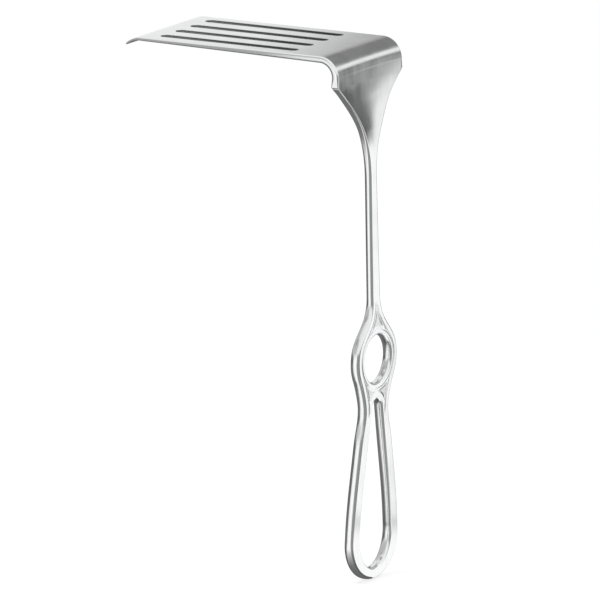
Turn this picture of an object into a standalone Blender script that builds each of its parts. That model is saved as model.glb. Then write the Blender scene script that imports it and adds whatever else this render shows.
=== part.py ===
"""Rib retractor of stainless steel: a slotted blade strip, bent over and lipped at its end, butt-welded to a
forged handle that has a flared neck, a slim shank, a finger ring and a grip loop.

Units are metres. +Z runs up the handle, the blade reaches out along -X and its width lies along Y.
The origin is the centre of the finger ring.
"""

import math

import bmesh
import bpy

# Blade strip. Its outer face is the back of the leg, the outside of the bend and the top of the flat.
BLADE_WIDTH = 0.061
LEG_LENGTH = 0.0049
BEND_RADIUS = 0.010
FLAT_LENGTH = 0.0953
LIP_RADIUS = 0.012
LIP_ANGLE = math.radians(47)
FLAT_THICKNESS = 0.0031
LIP_THICKNESS = 0.0017
TIP_THICKNESS = 0.0008
TIP_CORNER_RADIUS = 0.0018
BLADE_EDGE_RADIUS = 0.0006
NOTCH_RADIUS = 0.0007

# Slots through the flat, side by side
SLOT_COUNT = 4
SLOT_WIDTH = 0.0055
SLOT_SIDE_RIM = 0.00675
SLOT_BEND_GAP = 0.0167
SLOT_LIP_GAP = 0.0058

# Weld between the strip and the neck, ground flush with both
STOCK_THICKNESS = 0.0037
SEAM_HEIGHT = 0.1319
SEAM_BACK_X = -0.0018
WELD_HEIGHT = 0.0015

# Neck and shank
NECK_LENGTH = 0.0456
NECK_FLARE = 2.30
SHANK_TOP_WIDTH = 0.0069
SHANK_FOOT_WIDTH = 0.0084
SHANK_LEAN = -0.0236
NECK_JOG = 0.0016
JOG_LENGTH = 0.0180
JOG_TO_SEAM = 0.0060

# Dish hollowed into the back of the neck and running up into the bend
DISH_DEPTH = 0.0009
DISH_CENTRE_DROP = 0.0136
DISH_LOWER_REACH = 0.0230
DISH_UPPER_REACH = 0.0320
DISH_MARGIN = 0.0005

# Finger ring and grip
GRIP_THICKNESS = 0.0048
GRIP_LEAN = 0.0165
HANDLE_EDGE_RADIUS = 0.0014
RING_HOLE_HALF_WIDTH = 0.0120
RING_HOLE_HALF_HEIGHT = 0.0113
RING_WALL = 0.0066
SHOULDER_RADIUS = 0.0160
SHOULDER_RISE = 0.0100
SHOULDER_TURN = math.radians(40)
SHOULDER_RUN = 0.0200
RING_TURN = math.radians(17)
RING_LOWER_TURN = math.radians(42)
RING_LOWER_SWELL = 0.0006
WAIST_WIDTH = 0.0226
WAIST_DROP = 0.0040

# Teardrop loop below the ring
LOOP_BRIDGE = 0.0079
LOOP_HOLE_LENGTH = 0.0794
LOOP_TOP_RADIUS = 0.0042
LOOP_BOTTOM_RADIUS = 0.0141
LOOP_BOTTOM_DEPTH = 0.0158
LOOP_BULGE = 0.00075
LOOP_ARM_WIDTH = 0.0077
LOOP_END_WALL = 0.0056
GRIP_END_DEPTH = 0.0190
GRIP_END_LEAVE = math.radians(3)
WAIST_TO_ARMS = 0.0160

# Recessed webs above and below the finger ring, on both faces
WEB_DEPTH = 0.0005
BEAD_WIDTH = 0.0028
WEB_RIM = 0.0038
WEB_APEX_RISE = 0.0074
WEB_UPPER_SPREAD = math.radians(33)
WEB_LOWER_SPREAD = math.radians(42)
WEB_LOOP_ANGLE = math.radians(12)

# Fineness of the round stretches
FACET_ANGLE = math.radians(9)
NECK_STATION = 0.0040
SHOULDER_STATION = 0.0025
DISH_LINES = 14
TRIM_ALLOWANCE = 0.0020
MERGE_DISTANCE = 0.000001

STEEL = (0.62, 0.63, 0.64, 1.0)
WELD_STEEL = (0.58, 0.59, 0.60, 1.0)

# Stations along the blade's outer face, measured from the seam
BEND_START = LEG_LENGTH
FLAT_START = BEND_START + BEND_RADIUS * math.pi / 2
LIP_START = FLAT_START + FLAT_LENGTH
TIP = LIP_START + LIP_RADIUS * LIP_ANGLE

# Heights down the handle, measured from the ring's centre
WELD_BOTTOM = SEAM_HEIGHT - WELD_HEIGHT
NECK_START = SEAM_HEIGHT - NECK_LENGTH
JOG_TOP = SEAM_HEIGHT - JOG_TO_SEAM
JOG_FOOT = JOG_TOP - JOG_LENGTH
GRIP_TOP = RING_HOLE_HALF_HEIGHT
SHANK_FOOT = GRIP_TOP + SHOULDER_RUN
RING_RADIUS = RING_HOLE_HALF_WIDTH + RING_WALL
WAIST_HEIGHT = -(RING_RADIUS + WAIST_DROP)
ARMS_TOP = WAIST_HEIGHT - WAIST_TO_ARMS
LOOP_TOP = -(RING_HOLE_HALF_HEIGHT + LOOP_BRIDGE)
LOOP_BOTTOM = LOOP_TOP - LOOP_HOLE_LENGTH
HANDLE_BOTTOM = LOOP_BOTTOM - LOOP_END_WALL

# Centre line of the neck at the seam
SEAM_X = SEAM_BACK_X - STOCK_THICKNESS / 2
NECK_END_WIDTH = BLADE_WIDTH - 2 * NOTCH_RADIUS


def clear_scene():
    for old in list(bpy.data.objects):
        bpy.data.objects.remove(old, do_unlink=True)


def new_collection(name):
    collection = bpy.data.collections.new(name)
    bpy.context.scene.collection.children.link(collection)
    return collection


def steel(name, colour, roughness):
    material = bpy.data.materials.new(name)
    material.use_nodes = True
    shader = material.node_tree.nodes["Principled BSDF"]
    shader.inputs["Base Color"].default_value = colour
    shader.inputs["Metallic"].default_value = 1.0
    shader.inputs["Roughness"].default_value = roughness
    return material


def arc(centre, radius, start, end):
    """Points of a circular arc, both ends included."""
    count = max(1, math.ceil(abs(end - start) / FACET_ANGLE))
    angles = [start + (end - start) * i / count for i in range(count + 1)]
    return [(centre[0] + radius * math.cos(a), centre[1] + radius * math.sin(a)) for a in angles]


def stations(start, end, step):
    """Evenly spaced values from start to end, no further apart than step, both ends included."""
    count = max(1, math.ceil(abs(end - start) / step))
    return [start + (end - start) * i / count for i in range(count + 1)]


def smooth_path(points):
    """A smooth open path through the points, with more points where it turns."""
    lengths = [math.dist(a, b) for a, b in zip(points, points[1:])]
    slopes = [[(q - p) / d for p, q in zip(a, b)] for a, b, d in zip(points, points[1:], lengths)]
    tangents = [slopes[0]]
    for before, after, d, e in zip(slopes, slopes[1:], lengths, lengths[1:]):
        tangents.append([(p * e + q * d) / (d + e) for p, q in zip(before, after)])
    tangents.append(slopes[-1])
    path = [points[0]]
    for a, b, t, s, d in zip(points, points[1:], tangents, tangents[1:], lengths):
        turn = abs(math.atan2(t[0] * s[1] - t[1] * s[0], t[0] * s[0] + t[1] * s[1]))
        count = max(1, math.ceil(turn / FACET_ANGLE))
        for i in range(1, count + 1):
            path.append(tuple(hermite(i / count, a[k], t[k] * d, b[k], s[k] * d) for k in (0, 1)))
    return path


def hermite(t, start, start_slope, end, end_slope):
    """Cubic between two values, with its slopes given per unit of t."""
    rise = t * t * (3 - 2 * t)
    return (
        start * (1 - rise) + end * rise
        + start_slope * t * (1 - t) ** 2 - end_slope * t * t * (1 - t)
    )


def mirrored(half):
    """A closed outline from its right half, whose ends may lie on the centre line."""
    left = [(-y, z) for y, z in reversed(half) if y > MERGE_DISTANCE]
    return half + left


def plate(name, outlines, thickness, edge_radius):
    """A flat plate about Z = 0 with rounded edges: the first outline is its edge, the others are holes."""
    curve = bpy.data.curves.new(name, "CURVE")
    curve.dimensions = "2D"
    curve.fill_mode = "BOTH"
    curve.extrude = thickness / 2 - edge_radius
    curve.bevel_depth = edge_radius
    curve.offset = -edge_radius
    curve.bevel_resolution = 2 if edge_radius else 0
    for outline in outlines:
        spline = curve.splines.new("POLY")
        spline.points.add(len(outline) - 1)
        for point, (x, y) in zip(spline.points, outline):
            point.co = (x, y, 0, 1)
        spline.use_cyclic_u = True
    flat = bpy.data.objects.new(name, curve)
    bpy.context.scene.collection.objects.link(flat)
    flat = meshed(flat)
    work = bmesh.new()
    work.from_mesh(flat.data)
    bmesh.ops.remove_doubles(work, verts=work.verts, dist=MERGE_DISTANCE)
    work.to_mesh(flat.data)
    work.free()
    return flat


def meshed(source):
    """The object as a plain mesh, with its modifiers applied; the source is removed."""
    depsgraph = bpy.context.evaluated_depsgraph_get()
    mesh = bpy.data.meshes.new_from_object(source.evaluated_get(depsgraph))
    result = bpy.data.objects.new(source.name, mesh)
    result.matrix_world = source.matrix_world
    bpy.context.scene.collection.objects.link(result)
    bpy.data.objects.remove(source, do_unlink=True)
    return result


def score(work, axis, values, only=None):
    """Adds an edge loop at each value along the axis, so that the plate can bend there."""
    normal = [1.0 if k == axis else 0.0 for k in range(3)]
    for value in values:
        faces = [f for f in work.faces if only is None or all(only(v.co) for v in f.verts)]
        edges = {e for f in faces for e in f.edges}
        verts = {v for f in faces for v in f.verts}
        bmesh.ops.bisect_plane(
            work, geom=[*verts, *edges, *faces], dist=MERGE_DISTANCE,
            plane_co=[value * n for n in normal], plane_no=normal,
        )


def trim(work, axis, value, keep_above):
    """Cuts the plate square at the value along the axis and closes the cut with a flat face."""
    normal = [1.0 if k == axis else 0.0 for k in range(3)]
    cut = bmesh.ops.bisect_plane(
        work, geom=[*work.verts, *work.edges, *work.faces], dist=MERGE_DISTANCE,
        plane_co=[value * n for n in normal], plane_no=normal,
        clear_inner=keep_above, clear_outer=not keep_above,
    )
    edges = [e for e in cut["geom_cut"] if isinstance(e, bmesh.types.BMEdge)]
    bmesh.ops.edgeloop_fill(work, edges=edges)


def shaped(name, flat, work, place, material, collection):
    """Bends the flat plate into its real shape and puts it in the collection under its name."""
    for vert in work.verts:
        vert.co = place(*vert.co)
    work.normal_update()
    bmesh.ops.recalc_face_normals(work, faces=work.faces)
    mesh = bpy.data.meshes.new(name)
    work.to_mesh(mesh)
    work.free()
    bpy.data.objects.remove(flat, do_unlink=True)
    mesh.shade_smooth()
    mesh.set_sharp_from_angle(angle=math.radians(35))
    mesh.materials.append(material)
    piece = bpy.data.objects.new(name, mesh)
    collection.objects.link(piece)
    return piece


def neck_half_width(height):
    """Half the neck's width, from the slim top of the shank out to the blade's width at the seam."""
    rise = max(0.0, (height - NECK_START) / NECK_LENGTH)
    return SHANK_TOP_WIDTH / 2 + (NECK_END_WIDTH - SHANK_TOP_WIDTH) / 2 * rise**NECK_FLARE


def dish(station, across, half_width):
    """Depth of the hollow in the back face, at a distance up from the seam and a place across the width."""
    from_centre = station + DISH_CENTRE_DROP
    reach = DISH_LOWER_REACH if from_centre < 0 else DISH_UPPER_REACH
    room = max(half_width - DISH_MARGIN, MERGE_DISTANCE)
    lengthwise = min(1.0, abs(from_centre) / reach)
    crosswise = min(1.0, abs(across) / room)
    return DISH_DEPTH * math.cos(lengthwise * math.pi / 2) ** 2 * (1 - crosswise**2)


def dish_lines():
    """Places across the width where the dished faces are scored."""
    half = NECK_END_WIDTH / 2 - DISH_MARGIN
    return [half * (2 * i / DISH_LINES - 1) for i in range(1, DISH_LINES)]


def blade_outline():
    """The strip's edge, rolled out flat: X along the outer face from the seam, Y across."""
    half = BLADE_WIDTH / 2
    corner = TIP_CORNER_RADIUS
    right = [(-TRIM_ALLOWANCE, half - NOTCH_RADIUS)]
    right += [(NOTCH_RADIUS * math.sin(a), half - NOTCH_RADIUS * math.cos(a)) for a in (0.0, math.pi / 4)]
    right += [(NOTCH_RADIUS, half)]
    right += arc((TIP - corner, half - corner), corner, math.pi / 2, 0)
    return right + [(u, -v) for u, v in reversed(right)]


def slot_outlines():
    """Round-ended slots spread evenly across the width, from near the bend to near the lip."""
    radius = SLOT_WIDTH / 2
    near = FLAT_START + SLOT_BEND_GAP + radius
    far = LIP_START - SLOT_LIP_GAP - radius
    pitch = (BLADE_WIDTH - 2 * SLOT_SIDE_RIM - SLOT_WIDTH) / max(1, SLOT_COUNT - 1)
    outlines = []
    for i in range(SLOT_COUNT):
        across = (i - (SLOT_COUNT - 1) / 2) * pitch
        far_end = arc((far, across), radius, -math.pi / 2, math.pi / 2)
        near_end = arc((near, across), radius, math.pi / 2, 3 * math.pi / 2)
        outlines.append(far_end + near_end)
    return outlines


def blade_thickness(station):
    """The strip tapers evenly round the bend, along the flat and down the lip."""
    places = (0.0, FLAT_START, LIP_START, TIP)
    sizes = (STOCK_THICKNESS, FLAT_THICKNESS, LIP_THICKNESS, TIP_THICKNESS)
    for near, far, thick, thin in zip(places, places[1:], sizes, sizes[1:]):
        if station <= far:
            return thick + (thin - thick) * (station - near) / (far - near)
    return TIP_THICKNESS


def blade_place(u, v, w):
    """Where a point of the flat strip lies on the bent blade: u from the seam, v across, w through it."""
    flat_x = SEAM_BACK_X - BEND_RADIUS
    top_z = SEAM_HEIGHT + LEG_LENGTH + BEND_RADIUS
    inward = (STOCK_THICKNESS / 2 - w) * blade_thickness(u) / STOCK_THICKNESS
    if w > 0:
        inward += dish(u, v, NECK_END_WIDTH / 2) * 2 * w / STOCK_THICKNESS
    if u < BEND_START:
        return (SEAM_BACK_X - inward, v, SEAM_HEIGHT + u)
    if u < FLAT_START:
        angle = (u - BEND_START) / BEND_RADIUS
        radius = BEND_RADIUS - inward
        return (flat_x + radius * math.cos(angle), v, top_z - BEND_RADIUS + radius * math.sin(angle))
    if u < LIP_START:
        return (flat_x - (u - FLAT_START), v, top_z - inward)
    angle = (u - LIP_START) / LIP_RADIUS
    radius = LIP_RADIUS - inward
    return (
        flat_x - FLAT_LENGTH - radius * math.sin(angle), v, top_z - LIP_RADIUS + radius * math.cos(angle)
    )


def make_blade_plate(collection):
    """The slotted strip with its short leg, its bend and its turned-down lip."""
    flat = plate("blade_flat", [blade_outline(), *slot_outlines()], STOCK_THICKNESS, BLADE_EDGE_RADIUS)
    work = bmesh.new()
    work.from_mesh(flat.data)
    dish_end = DISH_UPPER_REACH - DISH_CENTRE_DROP
    score(work, 0, stations(BEND_START, FLAT_START, BEND_RADIUS * FACET_ANGLE))
    score(work, 0, stations(LIP_START, TIP, LIP_RADIUS * FACET_ANGLE)[:-1])
    score(work, 0, [dish_end])
    score(work, 1, dish_lines(), only=lambda co: co.x < dish_end + MERGE_DISTANCE)
    trim(work, 0, 0.0, keep_above=True)
    return shaped(
        "blade_plate", flat, work, blade_place, steel("blade_steel", STEEL, 0.30), collection
    )


def loop_hole_half_width(height):
    """Half the loop hole's width between its round ends: nearly straight sides that swell towards the bottom."""
    top_z, top_y, bottom_z, bottom_y = loop_tangents()
    drop = (top_z - height) / (top_z - bottom_z)
    return top_y + (bottom_y - top_y) * drop + LOOP_BULGE * math.sin(math.pi * drop * drop)


def loop_tangents():
    """Heights and half widths where the sides leave the loop hole's upper and lower ends."""
    upper = LOOP_TOP - LOOP_TOP_RADIUS
    lower = LOOP_BOTTOM + LOOP_BOTTOM_DEPTH
    angle = math.asin((LOOP_BOTTOM_RADIUS - LOOP_TOP_RADIUS) / (upper - lower))
    return (
        upper + LOOP_TOP_RADIUS * math.sin(angle), LOOP_TOP_RADIUS * math.cos(angle),
        lower + LOOP_BOTTOM_DEPTH * math.sin(angle), LOOP_BOTTOM_RADIUS * math.cos(angle),
    )


def loop_hole_outline():
    top_z, top_y, bottom_z, bottom_y = loop_tangents()
    upper = LOOP_TOP - LOOP_TOP_RADIUS
    lower = LOOP_BOTTOM + LOOP_BOTTOM_DEPTH
    half = arc((0, upper), LOOP_TOP_RADIUS, math.pi / 2, math.atan2(top_z - upper, top_y))
    sides = stations(top_z, bottom_z, (top_z - bottom_z) / 8)
    half += [(loop_hole_half_width(z), z) for z in sides[1:-1]]
    end = arc((0, 0), 1, math.acos(bottom_y / LOOP_BOTTOM_RADIUS), -math.pi / 2)
    half += [(LOOP_BOTTOM_RADIUS * y, lower + LOOP_BOTTOM_DEPTH * z) for y, z in end]
    return mirrored(half)


def oval(half_width, half_height):
    circle = arc((0, 0), 1, 0, 2 * math.pi)[:-1]
    return [(half_width * y, half_height * z) for y, z in circle]


def shoulder_centre():
    """Centre of the hollow round between the shank's foot and the finger ring."""
    return (SHANK_FOOT_WIDTH / 2 + SHOULDER_RADIUS, RING_RADIUS + SHOULDER_RISE)


def handle_outline():
    """The handle's edge from the neck down to the bottom of the loop, Y across and Z up."""
    half = [(neck_half_width(z), z) for z in stations(SEAM_HEIGHT + TRIM_ALLOWANCE, NECK_START, NECK_STATION)]
    half += arc(shoulder_centre(), SHOULDER_RADIUS, math.pi, math.pi + SHOULDER_TURN)
    half += arc((0, 0), RING_RADIUS, RING_TURN, -RING_TURN)
    half += arc((0, 0), RING_RADIUS + RING_LOWER_SWELL, -RING_LOWER_TURN, -RING_LOWER_TURN)[:1]
    half.append((WAIST_WIDTH / 2, WAIST_HEIGHT))
    end_centre = HANDLE_BOTTOM + GRIP_END_DEPTH
    arms_bottom = end_centre + GRIP_END_DEPTH * math.sin(GRIP_END_LEAVE)
    arms = stations(ARMS_TOP, arms_bottom, (ARMS_TOP - arms_bottom) / 4)
    half += [(loop_hole_half_width(z) + LOOP_ARM_WIDTH, z) for z in arms[:-1]]
    end = arc((0, 0), 1, GRIP_END_LEAVE, -math.pi / 2)
    half += [(y * (LOOP_BOTTOM_RADIUS + LOOP_ARM_WIDTH), end_centre + z * GRIP_END_DEPTH) for y, z in end]
    return mirrored(smooth_path(half))


def upper_web_outline():
    """Curved triangle above the ring: a bead's width off the hole and a rim's width in from the edge."""
    half = [(0, RING_RADIUS + WEB_APEX_RISE)]
    web_side = arc(shoulder_centre(), SHOULDER_RADIUS + WEB_RIM, math.pi + SHOULDER_TURN / 2, math.pi + SHOULDER_TURN)
    half += [(y, z) for y, z in web_side if y > BEAD_WIDTH / 2]
    half += ring_bead(math.pi / 2 - WEB_UPPER_SPREAD, math.pi / 2)
    return mirrored(half)


def ring_bead(start, end):
    """The bead's outer edge around the finger ring's hole."""
    circle = arc((0, 0), 1, start, end)
    return [
        ((RING_HOLE_HALF_WIDTH + BEAD_WIDTH) * y, (RING_HOLE_HALF_HEIGHT + BEAD_WIDTH) * z) for y, z in circle
    ]


def lower_web_outline():
    """Collar between the ring's bead and the bead over the top of the loop."""
    loop_bead = LOOP_TOP_RADIUS + BEAD_WIDTH
    half = ring_bead(-math.pi / 2, WEB_LOWER_SPREAD - math.pi / 2)
    half += arc((0, LOOP_TOP - LOOP_TOP_RADIUS), loop_bead, WEB_LOOP_ANGLE, math.pi / 2)
    return mirrored(half)


def cut_webs(flat, cutters):
    """Sinks both webs into both faces of the flat handle."""
    for name, outline in (("upper_web", upper_web_outline()), ("lower_web", lower_web_outline())):
        for side in (1, -1):
            cutter = plate(f"{name}_cutter_{side}", [outline], 2 * GRIP_THICKNESS, 0)
            cutter.location.z = side * (GRIP_THICKNESS * 3 / 2 - WEB_DEPTH)
            cutter.hide_render = True
            cutter.display_type = "WIRE"
            bpy.context.scene.collection.objects.unlink(cutter)
            cutters.objects.link(cutter)
            cut = flat.modifiers.new(cutter.name, "BOOLEAN")
            cut.operation = "DIFFERENCE"
            cut.solver = "EXACT"
            cut.object = cutter
    bpy.context.view_layer.update()
    return meshed(flat)


def handle_thickness(height):
    """Full thickness at the grip, easing to the stock's thickness up the shank."""
    t = min(1.0, max(0.0, (height - GRIP_TOP) / (SHANK_FOOT - GRIP_TOP)))
    return hermite(t, GRIP_THICKNESS, 0, STOCK_THICKNESS, 0)


def handle_centre_x(height):
    """The handle's centre line seen from the side: straight grip, straight shank, and a jog under the seam."""
    jog_x = SEAM_X + NECK_JOG
    if height >= JOG_TOP:
        return SEAM_X
    if height >= JOG_FOOT:
        t = (height - JOG_FOOT) / JOG_LENGTH
        return hermite(t, jog_x, SHANK_LEAN * JOG_LENGTH, SEAM_X, 0)
    if height >= SHANK_FOOT:
        return jog_x + SHANK_LEAN * (height - JOG_FOOT)
    if height >= GRIP_TOP:
        t = (height - GRIP_TOP) / SHOULDER_RUN
        foot_x = jog_x + SHANK_LEAN * (SHANK_FOOT - JOG_FOOT)
        return hermite(t, GRIP_LEAN * GRIP_TOP, GRIP_LEAN * SHOULDER_RUN, foot_x, SHANK_LEAN * SHOULDER_RUN)
    return GRIP_LEAN * height


def handle_place(y, z, w):
    """Where a point of the flat handle lies on the real one: w runs through it, from front to back."""
    half_thickness = handle_thickness(z) / 2
    through = w * 2 / GRIP_THICKNESS
    x = handle_centre_x(z) + through * half_thickness
    if w > 0:
        x -= dish(z - SEAM_HEIGHT, y, neck_half_width(z)) * through
    return (x, y, z)


def handle_blank(name, cutters):
    """The whole handle as a flat plate, scored where it bends, up past the seam."""
    holes = [oval(RING_HOLE_HALF_WIDTH, RING_HOLE_HALF_HEIGHT), loop_hole_outline()]
    flat = plate(name, [handle_outline(), *holes], GRIP_THICKNESS, HANDLE_EDGE_RADIUS)
    flat = cut_webs(flat, cutters)
    work = bmesh.new()
    work.from_mesh(flat.data)
    dish_start = SEAM_HEIGHT - DISH_CENTRE_DROP - DISH_LOWER_REACH
    score(work, 1, stations(GRIP_TOP, SHANK_FOOT, SHOULDER_STATION))
    score(work, 1, stations(dish_start, SEAM_HEIGHT, NECK_STATION)[:-1])
    score(work, 0, dish_lines(), only=lambda co: co.y > dish_start - MERGE_DISTANCE)
    return flat, work


def make_handle_forging(collection, cutters):
    """Neck, shank, finger ring and grip loop, forged in one piece."""
    flat, work = handle_blank("handle_flat", cutters)
    trim(work, 1, WELD_BOTTOM, keep_above=False)
    return shaped(
        "handle_forging", flat, work, handle_place, steel("handle_steel", STEEL, 0.22), collection
    )


def make_weld_seam(collection, cutters):
    """The weld's filler across the full width, ground flush with the neck below and the strip above."""
    flat, work = handle_blank("weld_flat", cutters)
    trim(work, 1, WELD_BOTTOM, keep_above=True)
    trim(work, 1, SEAM_HEIGHT, keep_above=False)
    return shaped(
        "weld_seam", flat, work, handle_place, steel("weld_steel", WELD_STEEL, 0.35), collection
    )


def main():
    clear_scene()
    retractor = new_collection("rib_retractor")
    cutters = new_collection("cutters")
    make_blade_plate(retractor)
    make_weld_seam(retractor, cutters)
    make_handle_forging(retractor, cutters)


main()
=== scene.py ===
"""Looks of the rib retractor: fine meshes of its three steel pieces, their finish, and a studio.

Units are metres, in the part's own frame: +Z up the handle, the blade towards -X, its width along Y, and
the origin at the centre of the finger ring.
"""

import math

import bmesh
import bpy
import numpy as np
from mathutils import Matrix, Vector
from mathutils.geometry import delaunay_2d_cdt

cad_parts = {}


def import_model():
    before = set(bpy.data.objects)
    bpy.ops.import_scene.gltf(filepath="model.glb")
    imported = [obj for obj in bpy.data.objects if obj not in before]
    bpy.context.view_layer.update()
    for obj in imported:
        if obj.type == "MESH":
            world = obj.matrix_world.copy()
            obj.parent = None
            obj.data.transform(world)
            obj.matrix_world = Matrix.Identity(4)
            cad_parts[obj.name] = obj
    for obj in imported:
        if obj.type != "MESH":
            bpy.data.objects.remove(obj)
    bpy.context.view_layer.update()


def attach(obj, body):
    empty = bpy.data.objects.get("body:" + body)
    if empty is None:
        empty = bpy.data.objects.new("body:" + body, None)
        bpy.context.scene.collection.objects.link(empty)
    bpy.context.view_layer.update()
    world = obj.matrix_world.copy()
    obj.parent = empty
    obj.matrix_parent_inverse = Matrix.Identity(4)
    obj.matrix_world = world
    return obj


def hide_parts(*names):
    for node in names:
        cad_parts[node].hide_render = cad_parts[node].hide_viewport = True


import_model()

# Blade strip, as in the part's source
BLADE_WIDTH = 0.061
LEG_LENGTH = 0.0049
BEND_RADIUS = 0.010
FLAT_LENGTH = 0.0953
LIP_RADIUS = 0.012
LIP_ANGLE = math.radians(47)
FLAT_THICKNESS = 0.0031
LIP_THICKNESS = 0.0017
TIP_THICKNESS = 0.0008
TIP_CORNER_RADIUS = 0.0018
NOTCH_RADIUS = 0.0007
SLOT_COUNT = 4
SLOT_WIDTH = 0.0055
SLOT_SIDE_RIM = 0.00675
SLOT_BEND_GAP = 0.0167
SLOT_LIP_GAP = 0.0058

# Weld, neck and shank, as in the part's source
STOCK_THICKNESS = 0.0037
SEAM_HEIGHT = 0.1319
SEAM_BACK_X = -0.0018
WELD_HEIGHT = 0.0015
NECK_LENGTH = 0.0456
NECK_FLARE = 2.30
SHANK_TOP_WIDTH = 0.0069
SHANK_FOOT_WIDTH = 0.0084
SHANK_LEAN = -0.0236
NECK_JOG = 0.0016
JOG_LENGTH = 0.0180
JOG_TO_SEAM = 0.0060
DISH_DEPTH = 0.0009
DISH_CENTRE_DROP = 0.0136
DISH_LOWER_REACH = 0.0230
DISH_UPPER_REACH = 0.0320
DISH_MARGIN = 0.0005

# Finger ring and grip loop, as in the part's source
GRIP_THICKNESS = 0.0048
GRIP_LEAN = 0.0165
RING_HOLE_HALF_WIDTH = 0.0120
RING_HOLE_HALF_HEIGHT = 0.0113
RING_WALL = 0.0066
SHOULDER_RADIUS = 0.0160
SHOULDER_RISE = 0.0100
SHOULDER_TURN = math.radians(40)
SHOULDER_RUN = 0.0200
RING_TURN = math.radians(17)
RING_LOWER_TURN = math.radians(42)
RING_LOWER_SWELL = 0.0006
WAIST_WIDTH = 0.0226
WAIST_DROP = 0.0040
LOOP_BRIDGE = 0.0079
LOOP_HOLE_LENGTH = 0.0794
LOOP_TOP_RADIUS = 0.0042
LOOP_BOTTOM_RADIUS = 0.0141
LOOP_BOTTOM_DEPTH = 0.0158
LOOP_BULGE = 0.00075
LOOP_ARM_WIDTH = 0.0077
LOOP_END_WALL = 0.0056
GRIP_END_DEPTH = 0.0190
GRIP_END_LEAVE = math.radians(3)
WAIST_TO_ARMS = 0.0160

# Rounded edges, of elliptical section: how far each reaches in across the face, and how far down the side it
# runs. A run is the length over which one size eases into the next.
BLADE_EDGE_REACH = 0.0010
BLADE_EDGE_RISE = 0.0015
SLOT_EDGE = 0.0003
SEAM_EDGE = 0.0004
SEAM_EDGE_RUN = 0.0040
NECK_EDGE = 0.0010
NECK_EDGE_RUN = 0.0180
HANDLE_EDGE_REACH = 0.0015
HANDLE_EDGE_RISE = 0.0023
HOLE_EDGE_REACH = 0.0012
HOLE_EDGE_RISE = 0.0023

# Relief around the finger ring: satin webs sunk between the outer rims and the beads around the holes
WEB_DEPTH = 0.00038
WEB_SLOPE = 0.0020
WEB_BEAD = 0.0028
WEB_RIM = 0.0038
WEB_APEX = 0.0290
WEB_APEX_FADE = 0.0050
GROOVE_DEPTH = 0.00016
GROOVE_WIDTH = 0.0014
WEB_FADE_TOP = -0.0215
WEB_FADE_BOTTOM = -0.0290

# Fineness of the meshes. Points closer than CLOSE count as one, and slopes are measured over two SLOPE_STEPs.
FACET_ANGLE = math.radians(2.5)
EDGE_RINGS = 8
EDGE_STEP = 0.0008
RELIEF_STEP = 0.00030
NECK_STEP = 0.0010
BLADE_STEP = 0.0025
BEND_STEP = 0.00030
LOOP_SIDE_STEPS = 24
ARM_STEPS = 4
LEAST_SHARE = 1 / 50
TRIM_ALLOWANCE = 0.0020
BORDER_GAP = 0.00030
CLOSE = 1e-7
SLOPE_STEP = 2e-6

# The axis that runs lengthwise on the flat strip and on the flat handle
STRIP_AXIS = 0
HANDLE_AXIS = 1

# Stations along the blade and heights down the handle, worked out as in the part's source
BEND_START = LEG_LENGTH
FLAT_START = BEND_START + BEND_RADIUS * math.pi / 2
LIP_START = FLAT_START + FLAT_LENGTH
TIP = LIP_START + LIP_RADIUS * LIP_ANGLE
WELD_BOTTOM = SEAM_HEIGHT - WELD_HEIGHT
NECK_START = SEAM_HEIGHT - NECK_LENGTH
JOG_TOP = SEAM_HEIGHT - JOG_TO_SEAM
JOG_FOOT = JOG_TOP - JOG_LENGTH
GRIP_TOP = RING_HOLE_HALF_HEIGHT
SHANK_FOOT = GRIP_TOP + SHOULDER_RUN
RING_RADIUS = RING_HOLE_HALF_WIDTH + RING_WALL
WAIST_HEIGHT = -(RING_RADIUS + WAIST_DROP)
ARMS_TOP = WAIST_HEIGHT - WAIST_TO_ARMS
LOOP_TOP = -(RING_HOLE_HALF_HEIGHT + LOOP_BRIDGE)
LOOP_BOTTOM = LOOP_TOP - LOOP_HOLE_LENGTH
HANDLE_BOTTOM = LOOP_BOTTOM - LOOP_END_WALL
SEAM_X = SEAM_BACK_X - STOCK_THICKNESS / 2
NECK_END_WIDTH = BLADE_WIDTH - 2 * NOTCH_RADIUS

# Camera: azimuth from -Y towards +X seen from above, elevation, the picture's frame and where its middle aims
CAMERA_AZIMUTH = math.radians(29.6)
CAMERA_ELEVATION = math.radians(10.85)
CAMERA_DISTANCE = 4.0
CLIP_START = 0.04
CLIP_END = 40.0
PICTURE_PIXELS = 600
PIXELS_PER_METRE = 2152
PICTURE_SIDE = PICTURE_PIXELS / PIXELS_PER_METRE
AIM_RIGHT = -0.0342
AIM_UP = 0.0272

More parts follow.
